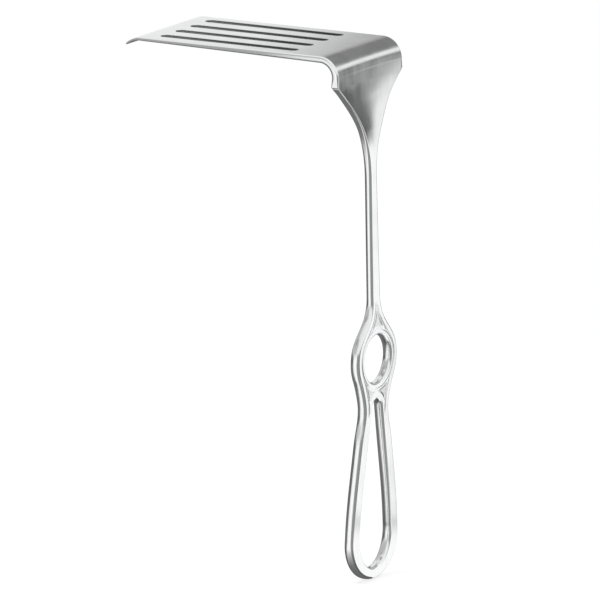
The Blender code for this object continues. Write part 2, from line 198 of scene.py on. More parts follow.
# Studio: a dome, a floor card and three near cards that only the steel sees. Angles are in degrees, and
# azimuths run from +Y towards +X. A panel has its azimuths, its elevations seen from STUDIO_CENTRE or its
# distances on the floor, its brightness, and the angle over which its edges fade. Distances on the floor
# fade over FLOOR_FADE.
STUDIO_CENTRE = Vector((0, 0, 0.06))
DOME_RADIUS = 0.8
DOME_STEP = 2
DOME_TOP = 89
DOME_LEVEL = 0.85
DOME_PANELS = [
    ("sky", (-180, 180), (14, 100), 1.00, 10),
    ("corner_flag", (60, 172), (-30, 10), 0.32, 16),
    ("left_flag", (-144, -76), (-30, 6), 0.16, 12),
    ("side_grey", (-172, -62), (10, 52), 0.60, 14),
    ("side_softbox", (163, 213), (-30, 10), 1.25, 20),
    ("top_softbox", (-48, -28), (-1.5, 60), 0.98, 5),
    ("silhouette_flag", (-80, -44), (-30, 8), 0.12, 6),
    ("silhouette_flag_low", (-48, -18), (-30, -1.5), 0.12, 4),
    ("neck_softbox", (20, 60), (-30, 14), 1.12, 5),
    ("neck_flag", (-22, 30.8), (-30, 12), 0.10, 5),
    ("bend_flag", (-22, 34), (-2, 17), 0.15, 5),
    ("bend_grey", (-26, 26), (19, 46), 0.24, 6),
    ("bend_softbox", (13, 52), (20.5, 26.5), 1.20, 7),
]
FLOOR_LEVEL = 0.12
FLOOR_FADE = 0.06
FLOOR_STEP = 0.02
FLOOR_PANELS = [
    ("floor_grey", (-180, 180), (0.08, 2), 0.20, 10),
    ("corner_flag", (90, 160), (0.04, 2), 0.32, 16),
    ("side_softbox", (166, 216), (0.04, 2), 1.25, 20),
    ("neck_softbox", (30.6, 60), (0.5, 2), 1.12, 6),
    ("handle_softbox", (0, 92), (-1, 0.13), 1.24, 12),
]

# A near card stands upright. It has its azimuth and distance from the handle, its brightness, how far it runs
# across and up, the length over which its edges fade, and its straight edges: the direction that each faces
# in the card's own plane, from right towards up, and its distance that way from the card's middle.
NEAR_CARD_STEP = 0.004
NEAR_CARDS = [
    ("blade_flag", -150.4, 0.12, 0.44, (-0.02, 0.13), (0.08, 0.18), 0.030,
     [(180, -0.012), (-90, -0.105)]),
    ("handle_softbox", 29.6, 0.12, 1.24, (-0.05, 0.05), (-0.10, 0.11), 0.012,
     [(0, 0.030), (180, 0.015), (90, 0.090)]),
    ("top_flag", -29.6, 0.25, 0.40, (-0.20, 0.06), (0.14, 0.27), 0.024,
     [(240, -0.155), (90, 0.25), (0, 0.04)]),
]
FLOOR_CARD_GAP = 0.0001
FLOOR_GAP = 0.0002
FLOOR_REACH = 20.0
FLOOR_WHITE = 0.80
FLOOR_PAINT = 0.9
ROOM_LIGHT = 1.0
LAMP_SIZE = 0.8
LAMP_POWER = 14.0
LAMP_PLACE = (-0.2, -0.5, 1.4)

# Finish of the steel: its colours and roughnesses, the sizes of its marks, and the heights of its bumps
STEEL = (0.78, 0.785, 0.79)
DULL_STEEL = (0.74, 0.745, 0.75)
WORN_STEEL = (0.86, 0.865, 0.87)
# Painted shade: a dark colour on the walls of the blade's slots, standing in for the shade inside them
HOLE_SHADE_STEEL = (0.40, 0.405, 0.41)
POLISHED = 0.17
WELD_POLISHED = 0.18
SATIN = 0.34
STREAK_LENGTH = 0.050
STREAK_WIDTH = 0.0016
GRAIN_LENGTH = 0.014
GRAIN_WIDTH = 0.00045
CLOUD_SIZE = 0.011
BEAD_SIZE = 0.00028
SCRATCH_LENGTH = 0.009
SCRATCH_WIDTH = 0.0005
GRAIN_HEIGHT = 0.0000012
BEAD_HEIGHT = 0.000006

# Which part of each mark's range counts, and what it does to the roughness or the colour
NOISE_RANGE = (0.3, 0.7)
SCRATCH_RANGE = (0.62, 0.75)
SATIN_RANGE = (0.2, 0.9)
WORN_POLISH_RANGE = (0.3, 1)
WORN_TONE_RANGE = (0.4, 1)
GRAIN_ROUGHNESS = (-0.03, 0.03)
CLOUD_ROUGHNESS = (-0.03, 0.04)
SCRATCH_ROUGHNESS = (0, 0.03)
WORN_POLISH = (0, 0.04)
WORN_TONE = (0, 0.7)
STREAK_TONE = (0, 1)


# Outlines in the flat

def arc(centre, radius, start, end):
    """Points of a circular arc, both ends included."""
    count = max(1, math.ceil(abs(end - start) / FACET_ANGLE))
    angles = [start + (end - start) * i / count for i in range(count + 1)]
    return [(centre[0] + radius * math.cos(a), centre[1] + radius * math.sin(a)) for a in angles]


def stations(start, end, step):
    """Evenly spaced values from start to end, no further apart than step, both ends included."""
    count = max(1, math.ceil(abs(end - start) / step))
    return [start + (end - start) * i / count for i in range(count + 1)]


def hermite(t, start, start_slope, end, end_slope):
    """Cubic between two values, with its slopes given per unit of t."""
    rise = t * t * (3 - 2 * t)
    return (
        start * (1 - rise) + end * rise
        + start_slope * t * (1 - t) ** 2 - end_slope * t * t * (1 - t)
    )


def smooth_path(points):
    """A smooth open path through the points, with more points where it turns."""
    lengths = [math.dist(a, b) for a, b in zip(points, points[1:])]
    slopes = [[(q - p) / d for p, q in zip(a, b)] for a, b, d in zip(points, points[1:], lengths)]
    tangents = [slopes[0]]
    for before, after, d, e in zip(slopes, slopes[1:], lengths, lengths[1:]):
        tangents.append([(p * e + q * d) / (d + e) for p, q in zip(before, after)])
    tangents.append(slopes[-1])
    path = [points[0]]
    for a, b, t, s, d in zip(points, points[1:], tangents, tangents[1:], lengths):
        turn = abs(math.atan2(t[0] * s[1] - t[1] * s[0], t[0] * s[0] + t[1] * s[1]))
        count = max(1, math.ceil(turn / FACET_ANGLE))
        for i in range(1, count + 1):
            path.append(tuple(hermite(i / count, a[k], t[k] * d, b[k], s[k] * d) for k in (0, 1)))
    return path


def mirrored(half):
    """A closed outline from its right half, whose ends may lie on the centre line."""
    left = [(-y, z) for y, z in reversed(half) if y > CLOSE]
    return half + left


def neck_half_width(height):
    """Half the neck's width, from the slim top of the shank out to the blade's width at the seam."""
    rise = np.maximum(0.0, (height - NECK_START) / NECK_LENGTH)
    return SHANK_TOP_WIDTH / 2 + (NECK_END_WIDTH - SHANK_TOP_WIDTH) / 2 * rise**NECK_FLARE


def blade_outline():
    """The strip's edge, rolled out flat: X along the outer face from the seam, Y across."""
    half = BLADE_WIDTH / 2
    corner = TIP_CORNER_RADIUS
    right = [(-TRIM_ALLOWANCE, half - NOTCH_RADIUS)]
    right += [(y, half - z) for y, z in arc((0, 0), NOTCH_RADIUS, math.pi / 2, 0)]
    right += arc((TIP - corner, half - corner), corner, math.pi / 2, 0)
    return right + [(u, -v) for u, v in reversed(right)]


def slot_outlines():
    """Round-ended slots spread evenly across the width, from near the bend to near the lip."""
    radius = SLOT_WIDTH / 2
    near = FLAT_START + SLOT_BEND_GAP + radius
    far = LIP_START - SLOT_LIP_GAP - radius
    pitch = (BLADE_WIDTH - 2 * SLOT_SIDE_RIM - SLOT_WIDTH) / (SLOT_COUNT - 1)
    outlines = []
    for i in range(SLOT_COUNT):
        across = (i - (SLOT_COUNT - 1) / 2) * pitch
        far_end = arc((far, across), radius, -math.pi / 2, math.pi / 2)
        near_end = arc((near, across), radius, math.pi / 2, 3 * math.pi / 2)
        outlines.append(far_end + near_end)
    return outlines


def loop_tangents():
    """Heights and half widths where the sides leave the loop hole's upper and lower ends."""
    upper = LOOP_TOP - LOOP_TOP_RADIUS
    lower = LOOP_BOTTOM + LOOP_BOTTOM_DEPTH
    angle = math.asin((LOOP_BOTTOM_RADIUS - LOOP_TOP_RADIUS) / (upper - lower))
    return (
        upper + LOOP_TOP_RADIUS * math.sin(angle), LOOP_TOP_RADIUS * math.cos(angle),
        lower + LOOP_BOTTOM_DEPTH * math.sin(angle), LOOP_BOTTOM_RADIUS * math.cos(angle),
    )


def loop_hole_half_width(height):
    """Half the loop hole's width between its round ends: nearly straight, swelling towards the bottom."""
    top_z, top_y, bottom_z, bottom_y = loop_tangents()
    drop = (top_z - height) / (top_z - bottom_z)
    return top_y + (bottom_y - top_y) * drop + LOOP_BULGE * math.sin(math.pi * drop * drop)


def loop_hole_outline():
    top_z, top_y, bottom_z, bottom_y = loop_tangents()
    upper = LOOP_TOP - LOOP_TOP_RADIUS
    lower = LOOP_BOTTOM + LOOP_BOTTOM_DEPTH
    half = arc((0, upper), LOOP_TOP_RADIUS, math.pi / 2, math.atan2(top_z - upper, top_y))
    sides = stations(top_z, bottom_z, (top_z - bottom_z) / LOOP_SIDE_STEPS)
    half += [(loop_hole_half_width(z), z) for z in sides[1:-1]]
    end = arc((0, 0), 1, math.acos(bottom_y / LOOP_BOTTOM_RADIUS), -math.pi / 2)
    half += [(LOOP_BOTTOM_RADIUS * y, lower + LOOP_BOTTOM_DEPTH * z) for y, z in end]
    return mirrored(half)


def ring_hole_outline():
    circle = arc((0, 0), 1, 0, 2 * math.pi)[:-1]
    return [(RING_HOLE_HALF_WIDTH * y, RING_HOLE_HALF_HEIGHT * z) for y, z in circle]


def handle_outline():
    """The handle's edge from the neck down to the bottom of the loop, Y across and Z up."""
    shoulder = (SHANK_FOOT_WIDTH / 2 + SHOULDER_RADIUS, RING_RADIUS + SHOULDER_RISE)
    heights = stations(SEAM_HEIGHT + TRIM_ALLOWANCE, NECK_START, NECK_STEP)
    half = [(float(neck_half_width(z)), z) for z in heights]
    half += arc(shoulder, SHOULDER_RADIUS, math.pi, math.pi + SHOULDER_TURN)
    half += arc((0, 0), RING_RADIUS, RING_TURN, -RING_TURN)
    lower_ring = RING_RADIUS + RING_LOWER_SWELL
    half.append((lower_ring * math.cos(RING_LOWER_TURN), -lower_ring * math.sin(RING_LOWER_TURN)))
    half.append((WAIST_WIDTH / 2, WAIST_HEIGHT))
    end_centre = HANDLE_BOTTOM + GRIP_END_DEPTH
    arms_bottom = end_centre + GRIP_END_DEPTH * math.sin(GRIP_END_LEAVE)
    arms = stations(ARMS_TOP, arms_bottom, (ARMS_TOP - arms_bottom) / ARM_STEPS)
    half += [(loop_hole_half_width(z) + LOOP_ARM_WIDTH, z) for z in arms[:-1]]
    end = arc((0, 0), 1, GRIP_END_LEAVE, -math.pi / 2)
    half += [(y * (LOOP_BOTTOM_RADIUS + LOOP_ARM_WIDTH), end_centre + z * GRIP_END_DEPTH) for y, z in end]
    return mirrored(smooth_path(half))


# Loops of points, and distances to them

def counterclockwise(loop):
    points = np.array(loop)
    ahead = np.roll(points, -1, axis=0)
    area = np.sum(points[:, 0] * ahead[:, 1] - ahead[:, 0] * points[:, 1])
    return points if area > 0 else points[::-1]


def refined(loop, step, rows=()):
    """The loop with points added: none lie further apart than step, and one lies on each row it crosses."""
    result = []
    for a, b in zip(loop, np.roll(loop, -1, axis=0)):
        count = max(1, math.ceil(np.linalg.norm(b - a) / step))
        places = {i / count for i in range(count)}
        axis, values = rows if len(rows) else (0, ())
        for value in values:
            if (a[axis] - value) * (b[axis] - value) < 0:
                places.add((value - a[axis]) / (b[axis] - a[axis]))
        kept = []
        for t in sorted(places):
            if not kept or (t - kept[-1]) * np.linalg.norm(b - a) > step * LEAST_SHARE:
                kept.append(t)
        result += [a + (b - a) * t for t in kept]
    return np.array(result)


def outward(loop):
    """Unit normals to the right of a counterclockwise loop, which point out of it."""
    ahead = np.roll(loop, -1, axis=0) - loop
    behind = loop - np.roll(loop, 1, axis=0)
    ahead /= np.linalg.norm(ahead, axis=1)[:, None]
    behind /= np.linalg.norm(behind, axis=1)[:, None]
    along = ahead + behind
    along /= np.linalg.norm(along, axis=1)[:, None]
    return np.stack([along[:, 1], -along[:, 0]], axis=1)


def distance(points, loop):
    """Distance of each point to a closed loop's line."""
    nearest = np.full(len(points), np.inf)
    for a, b in zip(loop, np.roll(loop, -1, axis=0)):
        along = b - a
        t = np.clip(((points - a) @ along) / (along @ along), 0, 1)
        nearest = np.minimum(nearest, np.hypot(*(points - a - t[:, None] * along).T))
    return nearest


def inside(points, loop):
    """Which points lie inside a closed loop, by counting the edges to their right."""
    crossings = np.zeros(len(points), int)
    for a, b in zip(loop, np.roll(loop, -1, axis=0)):
        spans = (a[1] > points[:, 1]) != (b[1] > points[:, 1])
        if spans.any():
            at = a[0] + (points[:, 1] - a[1]) / (b[1] - a[1]) * (b[0] - a[0])
            crossings += spans & (points[:, 0] < at)
    return crossings % 2 == 1


def eased(t):
    """Smooth step from 0 to 1."""
    t = np.clip(t, 0, 1)
    return t * t * (3 - 2 * t)


# A flat plate with rounded edges, relief on its faces, and exact normals

def flat_plate(loops, thickness, grid, relief):
    """A flat plate about Z = 0, whose first loop is its edge and whose other loops are holes.

    Gives its vertices and normals, how satin each vertex is, which lie in a hole, and its faces.
    """
    borders = [loop - normal * side * reach[:, None] for loop, normal, side, reach, _ in loops]
    starts = np.cumsum([0] + [len(border) for border in borders])
    rim = np.concatenate(borders)
    edges = [
        (start + i, start + (i + 1) % len(border))
        for start, border in zip(starts, borders) for i in range(len(border))
    ]
    keep = inside(grid, borders[0]) & (distance(grid, borders[0]) > BORDER_GAP)
    for hole in borders[1:]:
        keep &= ~inside(grid, hole) & (distance(grid, hole) > BORDER_GAP)
    flat = [Vector(p) for p in np.concatenate([rim, grid[keep]])]
    points, _, faces, origins, _, _ = delaunay_2d_cdt(flat, edges, [], 0, CLOSE)
    points = np.array([tuple(p) for p in points])
    faces = np.array(faces)
    centres = points[faces].mean(axis=1)
    solid = inside(centres, borders[0])
    for hole in borders[1:]:
        solid &= ~inside(centres, hole)
    faces = faces[solid]
    place_of = {source: i for i, sources in enumerate(origins) for source in sources}

    depth = relief(points)
    slope = np.stack(
        [
            (relief(points + step) - relief(points - step)) / (2 * SLOPE_STEP)
            for step in SLOPE_STEP * np.eye(2)
        ],
        axis=1,
    )
    count = len(points)
    upper = np.column_stack([points, thickness / 2 - depth])
    lower = np.column_stack([points, depth - thickness / 2])
    upper_normals = np.column_stack([slope, np.ones(count)])
    lower_normals = np.column_stack([slope, -np.ones(count)])
    verts, normals = [upper, lower], [upper_normals, lower_normals]
    polygons = [tuple(f) for f in faces] + [tuple(f[::-1] + count) for f in faces]

    total = 2 * count
    in_hole = [np.zeros(total)]
    quarter = [math.pi * k / (2 * EDGE_RINGS) for k in range(1, EDGE_RINGS)]
    profile = [(math.sin(a), math.cos(a), 1) for a in quarter] + [(1.0, 0.0, 1), (1.0, 0.0, -1)]
    profile += [(math.sin(a), math.cos(a), -1) for a in reversed(quarter)]
    for (loop, normal, side, reach, rise), start in zip(loops, starts):
        size = len(loop)
        rings = [[place_of[start + i] for i in range(size)]]
        for s, c, up in profile:
            place = loop - normal * side * (1 - s) * reach[:, None]
            height = up * (thickness / 2 - rise * (1 - c))
            verts.append(np.column_stack([place, height]))
            normals.append(np.column_stack([normal * side * s * rise[:, None], up * c * reach]))
            in_hole.append(np.full(size, float(side < 0)))
            rings.append([total + i for i in range(size)])
            total += size
        rings.append([count + place_of[start + i] for i in range(size)])
        for one, two in zip(rings, rings[1:]):
            for i in range(size):
                j = (i + 1) % size
                quad = (one[i], two[i], two[j], one[j])
                polygons.append(quad if side > 0 else quad[::-1])
    satin = np.zeros(total)
    satin[:2 * count] = np.tile(depth / WEB_DEPTH, 2)
    return np.concatenate(verts), np.concatenate(normals), satin, np.concatenate(in_hole), polygons


def loops_of(edge, holes, step, rounding, hole_edge, rows=()):
    """The plate's edge and holes as (points, outward normals, side, reach and rise of the rounding)."""
    loops = []
    for i, outline in enumerate([edge, *holes]):
        loop = refined(counterclockwise(outline), step, rows)
        if i:
            reach, rise = (np.full(len(loop), size) for size in hole_edge)
        else:
            reach, rise = rounding(loop)
        loops.append((loop, outward(loop), -1 if i else 1, reach, rise))
    return loops


def grid_points(bands):
    """Points on straight rows: each band is the rows' positions and the spacing and reach across them."""
    points = []
    for rows, step, reach in bands:
        across = np.array(stations(-reach, reach, step))
        for row in rows:
            points.append(np.column_stack([across, np.full(len(across), row)]))
    return np.concatenate(points)


def bent_piece(name, plate, place, cuts, material, node):
    """Cuts the flat plate square, bends it into shape with exact normals, and stands it in for its node."""
    verts, normals, satin, in_hole, polygons = plate
    work = bmesh.new()
    stored = work.verts.layers.float_vector.new("flat_normal")
    matt = work.verts.layers.float.new("satin")
    walled = work.verts.layers.float.new("in_hole")
    for co, normal, share, wall in zip(verts, normals, satin, in_hole):
        vert = work.verts.new(co)
        vert[stored] = normal
        vert[matt] = share
        vert[walled] = wall
    work.verts.ensure_lookup_table()
    for polygon in polygons:
        work.faces.new([work.verts[i] for i in polygon])
    cap_index = 1
    for axis, value, keep_above in cuts:
        direction = [1.0 if k == axis else 0.0 for k in range(3)]
        cut = bmesh.ops.bisect_plane(
            work, geom=[*work.verts, *work.edges, *work.faces], dist=CLOSE,
            plane_co=[value * n for n in direction], plane_no=direction,
            clear_inner=keep_above, clear_outer=not keep_above,
        )
        edges = [e for e in cut["geom_cut"] if isinstance(e, bmesh.types.BMEdge)]
        cap = bmesh.ops.edgeloop_fill(work, edges=edges)
        for face in cap["faces"]:
            face.material_index = cap_index
    work.verts.index_update()
    flat = np.array([vert.co for vert in work.verts])
    flat_normals = np.array([vert[stored] for vert in work.verts])
    satin = np.array([vert[matt] for vert in work.verts])
    in_hole = np.array([vert[walled] for vert in work.verts])
    shape = place(flat)
    columns = [
        (place(flat + step) - place(flat - step)) / (2 * SLOPE_STEP) for step in SLOPE_STEP * np.eye(3)
    ]
    crossed = [np.cross(columns[(k + 1) % 3], columns[(k + 2) % 3]) for k in range(3)]
    turned = sum(flat_normals[:, k, None] * crossed[k] for k in range(3))
    volume = np.sum(columns[0] * crossed[0], axis=1)
    turned *= np.sign(volume)[:, None]
    turned /= np.linalg.norm(turned, axis=1)[:, None]
    polygons = [[vert.index for vert in face.verts] for face in work.faces]
    capped = [face.material_index == cap_index for face in work.faces]
    work.free()
    if volume.mean() < 0:
        polygons = [polygon[::-1] for polygon in polygons]

    mesh = bpy.data.meshes.new(name)
    mesh.from_pydata(shape.tolist(), [], polygons)
    mesh.shade_smooth()
    mesh.update()
    corner_normals = []
    for polygon, face, flat_face in zip(polygons, mesh.polygons, capped):
        for i in polygon:
            corner_normals.append(face.normal[:] if flat_face else tuple(turned[i]))
    mesh.normals_split_custom_set(corner_normals)
    through = np.abs(flat_normals[:, 2]) / np.linalg.norm(flat_normals, axis=1)
    worn = 2 * through * np.sqrt(np.maximum(0, 1 - through**2))
    mesh.attributes.new("flat", "FLOAT_VECTOR", "POINT").data.foreach_set("vector", flat.ravel())
    mesh.attributes.new("satin", "FLOAT", "POINT").data.foreach_set("value", satin)
    mesh.attributes.new("in_hole", "FLOAT", "POINT").data.foreach_set("value", in_hole)
    mesh.attributes.new("worn", "FLOAT", "POINT").data.foreach_set("value", worn)
    mesh.materials.append(material)
    piece = bpy.data.objects.new(name, mesh)
    bpy.context.scene.collection.objects.link(piece)
    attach(piece, "root")
    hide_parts(node)
    return piece


# How the plates bend into the real shape

def dish(station, across, half_width):
    """Depth of the hollow in the back face, at a distance up from the seam and a place across the width."""
    from_centre = station + DISH_CENTRE_DROP
    reach = np.where(from_centre < 0, DISH_LOWER_REACH, DISH_UPPER_REACH)
    room = np.maximum(half_width - DISH_MARGIN, CLOSE)
    lengthwise = np.minimum(1.0, np.abs(from_centre) / reach)
    crosswise = np.minimum(1.0, np.abs(across) / room)
    return DISH_DEPTH * np.cos(lengthwise * math.pi / 2) ** 2 * (1 - crosswise**2)


def blade_place(flat):
    """Where points of the flat strip lie on the bent blade: u from the seam, v across, w through it."""
    u, v, w = flat.T
    flat_x = SEAM_BACK_X - BEND_RADIUS
    top_z = SEAM_HEIGHT + LEG_LENGTH + BEND_RADIUS
    thickness = np.interp(
        u, (0, FLAT_START, LIP_START, TIP), (STOCK_THICKNESS, FLAT_THICKNESS, LIP_THICKNESS, TIP_THICKNESS)
    )
    inward = (STOCK_THICKNESS / 2 - w) * thickness / STOCK_THICKNESS
    inward = inward + dish(u, v, NECK_END_WIDTH / 2) * 2 * np.maximum(w, 0) / STOCK_THICKNESS
    bend = np.clip((u - BEND_START) / BEND_RADIUS, 0, math.pi / 2)
    lip = np.clip((u - LIP_START) / LIP_RADIUS, 0, None)
    leg = np.minimum(u - BEND_START, 0)
    run = np.clip(u - FLAT_START, 0, FLAT_LENGTH)
    x = (
        flat_x + (BEND_RADIUS - inward) * np.cos(bend)
        - run - (LIP_RADIUS - inward) * np.sin(lip)
    )
    z = (
        top_z - BEND_RADIUS + leg + (BEND_RADIUS - inward) * np.sin(bend)
        + (LIP_RADIUS - inward) * (np.cos(lip) - 1)
    )
    return np.column_stack([x, v, z])


def handle_thickness(height):
    """Full thickness at the grip, easing to the stock's thickness up the shank."""
    t = np.clip((height - GRIP_TOP) / (SHANK_FOOT - GRIP_TOP), 0, 1)
    return hermite(t, GRIP_THICKNESS, 0, STOCK_THICKNESS, 0)


def handle_centre_x(height):
    """The handle's centre line from the side: straight grip, straight shank, and a jog under the seam."""
    jog_x = SEAM_X + NECK_JOG
    foot_x = jog_x + SHANK_LEAN * (SHANK_FOOT - JOG_FOOT)
    jog = np.clip((height - JOG_FOOT) / JOG_LENGTH, 0, 1)
    shoulder = np.clip((height - GRIP_TOP) / SHOULDER_RUN, 0, 1)
    return np.select(
        [height >= JOG_FOOT, height >= SHANK_FOOT, height >= GRIP_TOP],
        [
            hermite(jog, jog_x, SHANK_LEAN * JOG_LENGTH, SEAM_X, 0),
            jog_x + SHANK_LEAN * (height - JOG_FOOT),
            hermite(
                shoulder, GRIP_LEAN * GRIP_TOP, GRIP_LEAN * SHOULDER_RUN, foot_x, SHANK_LEAN * SHOULDER_RUN
            ),
        ],
        GRIP_LEAN * height,
    )


def handle_place(flat):
    """Where points of the flat handle lie on the real one: y across, z up, w through it."""
    y, z, w = flat.T
    through = w * 2 / GRIP_THICKNESS
    x = handle_centre_x(z) + through * handle_thickness(z) / 2
    x = x - dish(z - SEAM_HEIGHT, y, neck_half_width(z)) * np.maximum(through, 0)
    return np.column_stack([x, y, z])


# The three pieces

def no_relief(points):
    return np.zeros(len(points))


def blade_plate(material):
    """The slotted strip with its short leg, its bend and its turned-down lip."""
    dish_end = DISH_UPPER_REACH - DISH_CENTRE_DROP
    bend_rows = stations(0, FLAT_START, BEND_STEP)
    flat_rows = stations(FLAT_START, LIP_START, BLADE_STEP)[1:-1]
    lip_rows = stations(LIP_START, TIP, BEND_STEP)
    rows = [*bend_rows, *flat_rows, *lip_rows]

    def rounding(points):
        """Rounded edges that ease into the neck's finer ones at the seam."""
        run = (NOTCH_RADIUS, NOTCH_RADIUS + SEAM_EDGE_RUN)
        reach = np.interp(points[:, 0], run, (SEAM_EDGE, BLADE_EDGE_REACH))
        rise = np.interp(points[:, 0], run, (SEAM_EDGE, BLADE_EDGE_RISE))
        return reach, rise

    hole_edge = (SLOT_EDGE, SLOT_EDGE)
    loops = loops_of(
        blade_outline(), slot_outlines(), BLADE_STEP, rounding, hole_edge, (STRIP_AXIS, rows)
    )
    reach = BLADE_WIDTH / 2
    dished = [row for row in bend_rows if row < dish_end]
    plain = [row for row in rows if row >= dish_end]
    grid = grid_points([(dished, NECK_STEP, reach), (plain, BLADE_STEP, reach)])[:, ::-1]
    plate = flat_plate(loops, STOCK_THICKNESS, grid, no_relief)
    cuts = [(STRIP_AXIS, 0.0, True)]
    return bent_piece("blade", plate, blade_place, cuts, material, "blade_plate")


def handle_plate():
    """The whole handle in the flat, from the bottom of the loop up past the seam."""
    edge = handle_outline()
    holes = [ring_hole_outline(), loop_hole_outline()]
    neck_rows = stations(GRIP_TOP, SEAM_HEIGHT + TRIM_ALLOWANCE, NECK_STEP)
    flush = GRIP_THICKNESS / STOCK_THICKNESS

    def rounding(points):
        """Full edges on the grip and the shank, easing into the strip's edges at the seam."""
        heights = (NECK_START, NECK_START + NECK_EDGE_RUN, SEAM_HEIGHT)
        reach = np.interp(points[:, 1], heights, (HANDLE_EDGE_REACH, NECK_EDGE, SEAM_EDGE))
        rise = np.interp(points[:, 1], heights, (HANDLE_EDGE_RISE, flush * NECK_EDGE, flush * SEAM_EDGE))
        return reach, rise

    hole_edge = (HOLE_EDGE_REACH, HOLE_EDGE_RISE)
    loops = loops_of(edge, holes, EDGE_STEP, rounding, hole_edge, (HANDLE_AXIS, neck_rows))
    relief_rows = stations(WEB_FADE_BOTTOM, SHANK_FOOT, RELIEF_STEP)
    grid = grid_points([
        (relief_rows, RELIEF_STEP, RING_RADIUS),
        ([row for row in neck_rows if row > SHANK_FOOT], NECK_STEP, BLADE_WIDTH / 2),
    ])
    outer, ring, loop = (points for points, *_ in loops)

    def web(points):
        """Depth of the satin webs: nothing on the rims and beads, and fading out down the loop's arms."""
        depth = np.zeros(len(points))
        near = (points[:, 1] > WEB_FADE_BOTTOM) & (points[:, 1] < SHANK_FOOT)
        spots = points[near]
        to_ring, to_loop, to_outer = (distance(spots, border) for border in (ring, loop, outer))
        ring_groove = eased(1 - np.abs(to_ring - WEB_BEAD) / (GROOVE_WIDTH / 2))
        rim_groove = eased(1 - np.abs(to_outer - WEB_RIM) / (GROOVE_WIDTH / 2))
        fading = (
            eased((spots[:, 1] - WEB_FADE_BOTTOM) / (WEB_FADE_TOP - WEB_FADE_BOTTOM))
            * eased((WEB_APEX - spots[:, 1]) / WEB_APEX_FADE)
        )
        sunk = (
            eased((to_ring - WEB_BEAD) / WEB_SLOPE)
            * eased((to_loop - WEB_BEAD) / WEB_SLOPE)
            * eased((to_outer - WEB_RIM) / WEB_SLOPE)
        )
        grooves = np.maximum(ring_groove, rim_groove * (to_ring > WEB_BEAD) * fading)
        depth[near] = GROOVE_DEPTH * grooves + WEB_DEPTH * sunk * fading
        return depth

    return flat_plate(loops, GRIP_THICKNESS, grid, web)


def handle_forging(plate, material):
    """Neck, shank, finger ring and grip loop, forged in one piece."""
    cuts = [(HANDLE_AXIS, WELD_BOTTOM, False)]
    return bent_piece("handle", plate, handle_place, cuts, material, "handle_forging")


def weld_seam(plate, material):
    """The weld's filler, ground flush with the neck and the strip."""
    cuts = [(HANDLE_AXIS, WELD_BOTTOM, True), (HANDLE_AXIS, SEAM_HEIGHT, False)]
    return bent_piece("weld", plate, handle_place, cuts, material, "weld_seam")


# Materials

class Wiring:
    """Short ways to add and link the nodes of one material."""

    def __init__(self, material):
        material.use_nodes = True
        self.nodes = material.node_tree.nodes
        self.links = material.node_tree.links

    def attribute(self, name, output):
        node = self.nodes.new("ShaderNodeAttribute")
        node.attribute_name = name
        return node.outputs[output]

    def feed(self, socket, value):
        if isinstance(value, (int, float)):
            socket.default_value = value
        else:
            self.links.new(value, socket)

    def math(self, operation, first, second):
        node = self.nodes.new("ShaderNodeMath")
        node.operation = operation
        self.feed(node.inputs[0], first)
        self.feed(node.inputs[1], second)
        return node.outputs[0]

    def spread(self, value, between, into):
        """A value between two numbers turned into one between two others."""
        node = self.nodes.new("ShaderNodeMapRange")
        self.feed(node.inputs["Value"], value)
        names = ("From Min", "From Max", "To Min", "To Max")
        for name, number in zip(names, (*between, *into)):
            node.inputs[name].default_value = number
        return node.outputs[0]

    def noise(self, place, sizes, detail):
        """Noise whose features have the given sizes along the flat piece's three directions, in metres."""
        stretch = self.nodes.new("ShaderNodeMapping")
        stretch.vector_type = "POINT"
        self.links.new(place, stretch.inputs["Vector"])
        stretch.inputs["Scale"].default_value = [1 / size for size in sizes]
        node = self.nodes.new("ShaderNodeTexNoise")
        node.inputs["Scale"].default_value = 1.0
        node.inputs["Detail"].default_value = detail
        self.links.new(stretch.outputs[0], node.inputs["Vector"])
        return node.outputs["Fac"]

    def mix(self, share, first, second):
        node = self.nodes.new("ShaderNodeMix")
        node.data_type = "RGBA"
        self.feed(node.inputs["Factor"], share)
        for socket, colour in ((node.inputs["A"], first), (node.inputs["B"], second)):
            if isinstance(colour, tuple):
                socket.default_value = (*colour, 1.0)
            else:
                self.links.new(colour, socket)
        return node.outputs["Result"]


